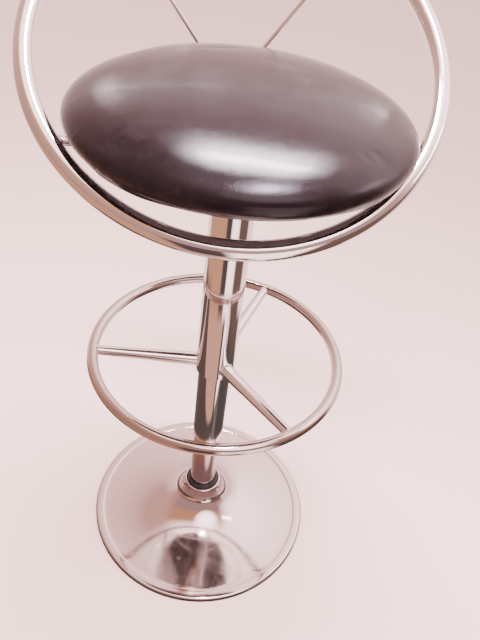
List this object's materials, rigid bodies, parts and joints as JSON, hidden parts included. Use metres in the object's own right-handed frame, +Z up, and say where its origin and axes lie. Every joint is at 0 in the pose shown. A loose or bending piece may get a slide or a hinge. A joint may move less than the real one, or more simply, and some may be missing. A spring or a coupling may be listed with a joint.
{
  "type": "bar stool",
  "caption": "Height-adjustable swivel bar stool: round padded seat, tilted arm hoop, telescopic chrome column, ring footrest and trumpet base.",
  "frame": {"origin": "on the floor, on the column's axis, at the middle of the base's underside", "axes": "+Z up along the column, -Z out of the base's underside, +Y to the stool's back where the arm hoop is high, +X to the sitter's left when facing -Y"},
  "size_m": [0.547, 0.5312, 0.9908],
  "materials": {
    "chrome": "bright chrome plate",
    "bare_steel": "zinc-plated or bare steel",
    "dark_steel": "black painted steel",
    "black_plastic": "satin moulded plastic",
    "rubber": "matt rubber",
    "vinyl": "glossy black vinyl",
    "foam": "polyurethane foam",
    "plywood": "raw plywood",
    "dust_cloth": "black non-woven cloth"
  },
  "bodies": {
    "base": {"base_cover": "chrome", "base_ballast": "dark_steel", "base_socket": "bare_steel", "floor_pad": "rubber", "collar_bush": "black_plastic", "stand_tube": "chrome", "guide_bush": "black_plastic", "thrust_washer_lower": "bare_steel", "thrust_balls": "bare_steel"},
    "rod": {"thrust_washer_upper": "bare_steel", "rod_clip": "bare_steel", "piston_rod": "chrome", "piston": "bare_steel", "rod_bumper": "rubber"},
    "mid_cover": {"mid_sleeve": "chrome", "mid_glide": "black_plastic"},
    "carriage": {"upper_sleeve": "chrome", "sleeve_glide": "black_plastic", "sleeve_cap": "bare_steel", "gas_cylinder": "dark_steel", "cylinder_gland": "bare_steel", "footrest_ring": "chrome", "footrest_spoke_left": "chrome", "footrest_spoke_rear": "chrome", "footrest_spoke_front": "chrome", "seat_plate": "dark_steel", "seat_bolts": "bare_steel", "seat_board": "plywood", "dust_cover": "dust_cloth", "seat_foam": "foam", "seat_cover": "vinyl", "arm_hoop": "chrome", "side_bar_left": "chrome", "side_bar_right": "chrome", "back_strap": "dark_steel", "back_rod_left": "chrome", "back_rod_right": "chrome", "lever_pin": "bare_steel"},
    "lever": {"lever_rod": "chrome", "lever_grip": "black_plastic"},
    "release": {"release_pin": "bare_steel"}
  },
  "joints": [
    {"name": "seat_swivel", "type": "hinge", "parent": "base", "child": "rod", "pos_m": [0, 0, 0.0126], "axis": [0, 0, 1], "continuous": true},
    {"name": "height_slide", "type": "slide", "parent": "rod", "child": "carriage", "axis": [0, 0, 1], "range_m": [-0.2, 0]},
    {"name": "mid_cover_slide", "type": "slide", "parent": "base", "child": "mid_cover", "axis": [0, 0, 1], "range_m": [-0.1, 0]},
    {"name": "lever_lift", "type": "hinge", "parent": "carriage", "child": "lever", "pos_m": [0.02443, 0.00889, 0.754], "axis": [0.342, -0.9397, 0], "range_deg": [0, 6], "stiffness_Nm_per_rad": 3, "springref_deg": -5.73},
    {"name": "release_press", "type": "slide", "parent": "carriage", "child": "release", "axis": [0, 0, -1], "range_m": [0, 0.0025], "stiffness_N_per_m": 400}
  ],
  "couplings": [
    {"joint": "mid_cover_slide", "follows": "height_slide", "ratio": 0.5},
    {"joint": "release_press", "follows": "lever_lift", "m_per_rad": 0.023}
  ]
}
